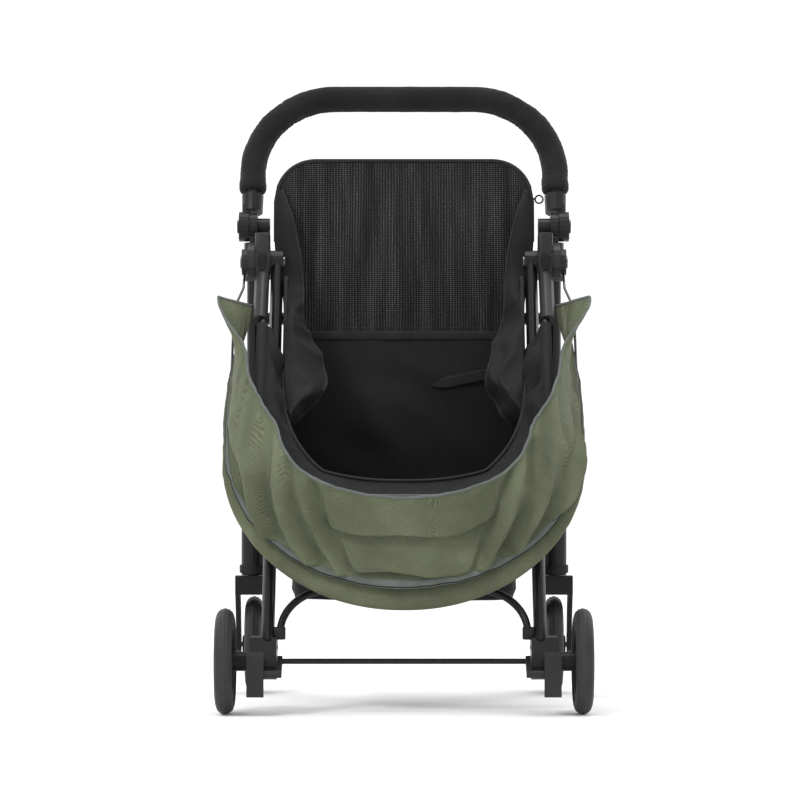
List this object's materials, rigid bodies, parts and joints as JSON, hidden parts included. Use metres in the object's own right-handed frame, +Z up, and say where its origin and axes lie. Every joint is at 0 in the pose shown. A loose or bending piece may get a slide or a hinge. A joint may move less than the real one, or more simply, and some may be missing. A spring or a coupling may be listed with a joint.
{
  "type": "pet stroller",
  "caption": "Folding four-wheel pet stroller with open fabric cabin, mesh back, hood folded open over the mouth, swivelling far wheels and folding handle.",
  "frame": {"origin": "on the floor, at the middle of the bounding box: midway between the left and right sides and between the near and far ends", "axes": "+Z up, +Y from the open mouth towards the push handle, +X to the right when looking into the mouth"},
  "size_m": [0.5378, 0.6, 0.948],
  "materials": {
    "frame_paint": "satin black powder coat",
    "black_plastic": "fine textured black moulding",
    "grey_plastic": "satin dark grey moulding",
    "steel": "zinc plated",
    "tyre_rubber": "matt rubber tread",
    "rim_plastic": "black moulding",
    "board_plastic": "black board",
    "black_fabric": "plain woven polyester",
    "mesh_fabric": "open knitted mesh",
    "green_fabric": "olive green woven polyester with a tone-on-tone pattern",
    "grip_foam": "stretch fabric over foam"
  },
  "bodies": {
    "main_frame": {"upright_tube_r": "frame_paint", "upright_tube_l": "frame_paint", "caster_socket_r": "black_plastic", "caster_socket_l": "black_plastic", "lower_cross_tube": "frame_paint", "upper_cross_tube": "frame_paint", "hub_plate_r": "grey_plastic", "hub_plate_l": "grey_plastic", "hub_pin_r": "steel", "hub_pin_l": "steel", "handle_mount_r": "black_plastic", "handle_mount_l": "black_plastic", "handle_pin_r": "steel", "handle_pin_l": "steel", "cabin_shell": "black_fabric", "back_panel": "mesh_fabric", "tether_strap": "black_fabric", "elastic_loop": "black_fabric", "storage_basket": "black_fabric"},
    "handle": {"handle_tube": "frame_paint", "grip_cover": "grip_foam", "handle_knuckle_r": "black_plastic", "handle_knuckle_l": "black_plastic"},
    "near_frame": {"near_leg_r": "frame_paint", "near_leg_l": "frame_paint", "arch_brace": "frame_paint", "wheel_bracket_r": "black_plastic", "wheel_bracket_l": "black_plastic", "near_axle_r": "steel", "near_axle_l": "steel"},
    "brake": {"brake_rod": "frame_paint", "brake_pedal_r": "grey_plastic", "brake_pedal_l": "grey_plastic"},
    "rim_bar": {"rim_bar": "frame_paint", "rim_bar_socket_r": "grey_plastic", "rim_bar_socket_l": "grey_plastic"},
    "floor": {"floor_board": "board_plastic", "floor_pad": "black_fabric"},
    "hood": {"hood_cover": "green_fabric", "hood_bow": "steel", "hood_ear_r": "grey_plastic", "hood_ear_l": "grey_plastic"},
    "near_wheel_r": {"near_tyre_r": "tyre_rubber", "near_rim_r": "rim_plastic"},
    "far_wheel_r": {"far_tyre_r": "tyre_rubber", "far_rim_r": "rim_plastic"},
    "caster_r": {"caster_fork_r": "black_plastic", "far_axle_r": "steel"},
    "handle_button_r": {"handle_button_r": "grey_plastic"},
    "rim_latch_r": {"rim_latch_r": "black_plastic"},
    "near_wheel_l": {"near_tyre_l": "tyre_rubber", "near_rim_l": "rim_plastic"},
    "far_wheel_l": {"far_tyre_l": "tyre_rubber", "far_rim_l": "rim_plastic"},
    "caster_l": {"caster_fork_l": "black_plastic", "far_axle_l": "steel"},
    "handle_button_l": {"handle_button_l": "grey_plastic"},
    "rim_latch_l": {"rim_latch_l": "black_plastic"}
  },
  "joints": [
    {"name": "handle_fold", "type": "hinge", "parent": "main_frame", "child": "handle", "pos_m": [0, 0.19, 0.722], "axis": [-1, 0, 0], "range_deg": [-20, 92]},
    {"name": "frame_fold", "type": "hinge", "parent": "main_frame", "child": "near_frame", "pos_m": [0, 0.115, 0.662], "axis": [1, 0, 0], "range_deg": [0, 18]},
    {"name": "rim_bar_fold", "type": "hinge", "parent": "main_frame", "child": "rim_bar", "pos_m": [0, 0.115, 0.662], "axis": [1, 0, 0], "range_deg": [0, 21.6]},
    {"name": "floor_fold", "type": "hinge", "parent": "main_frame", "child": "floor", "pos_m": [0, 0.143, 0.3], "axis": [-1, 0, 0], "range_deg": [0, 72]},
    {"name": "hood_swing", "type": "hinge", "parent": "near_frame", "child": "hood", "pos_m": [0, 0.115, 0.662], "axis": [-1, 0, 0], "range_deg": [0, 100]},
    {"name": "brake_press", "type": "hinge", "parent": "near_frame", "child": "brake", "pos_m": [0, -0.225, 0.075], "axis": [1, 0, 0], "range_deg": [0, 15]},
    {"name": "near_wheel_spin_r", "type": "hinge", "parent": "near_frame", "child": "near_wheel_r", "pos_m": [0.253, -0.225, 0.075], "axis": [1, 0, 0], "continuous": true},
    {"name": "caster_swivel_r", "type": "hinge", "parent": "main_frame", "child": "caster_r", "pos_m": [0.233, 0.19, 0.2], "axis": [0, 0, 1], "continuous": true},
    {"name": "far_wheel_spin_r", "type": "hinge", "parent": "caster_r", "child": "far_wheel_r", "pos_m": [0.233, 0.225, 0.075], "axis": [1, 0, 0], "continuous": true},
    {"name": "handle_button_press_r", "type": "slide", "parent": "handle", "child": "handle_button_r", "axis": [-1, 0, 0], "range_m": [0, 0.003]},
    {"name": "rim_latch_press_r", "type": "slide", "parent": "rim_bar", "child": "rim_latch_r", "axis": [0, 1, 0], "range_m": [0, 0.002]},
    {"name": "near_wheel_spin_l", "type": "hinge", "parent": "near_frame", "child": "near_wheel_l", "pos_m": [-0.253, -0.225, 0.075], "axis": [1, 0, 0], "continuous": true},
    {"name": "caster_swivel_l", "type": "hinge", "parent": "main_frame", "child": "caster_l", "pos_m": [-0.233, 0.19, 0.2], "axis": [0, 0, 1], "continuous": true},
    {"name": "far_wheel_spin_l", "type": "hinge", "parent": "caster_l", "child": "far_wheel_l", "pos_m": [-0.233, 0.225, 0.075], "axis": [1, 0, 0], "continuous": true},
    {"name": "handle_button_press_l", "type": "slide", "parent": "handle", "child": "handle_button_l", "axis": [1, 0, 0], "range_m": [0, 0.003]},
    {"name": "rim_latch_press_l", "type": "slide", "parent": "rim_bar", "child": "rim_latch_l", "axis": [0, 1, 0], "range_m": [0, 0.002]}
  ],
  "couplings": [
    {"joint": "rim_bar_fold", "follows": "frame_fold", "ratio": 1.2},
    {"joint": "floor_fold", "follows": "frame_fold", "ratio": 4}
  ]
}
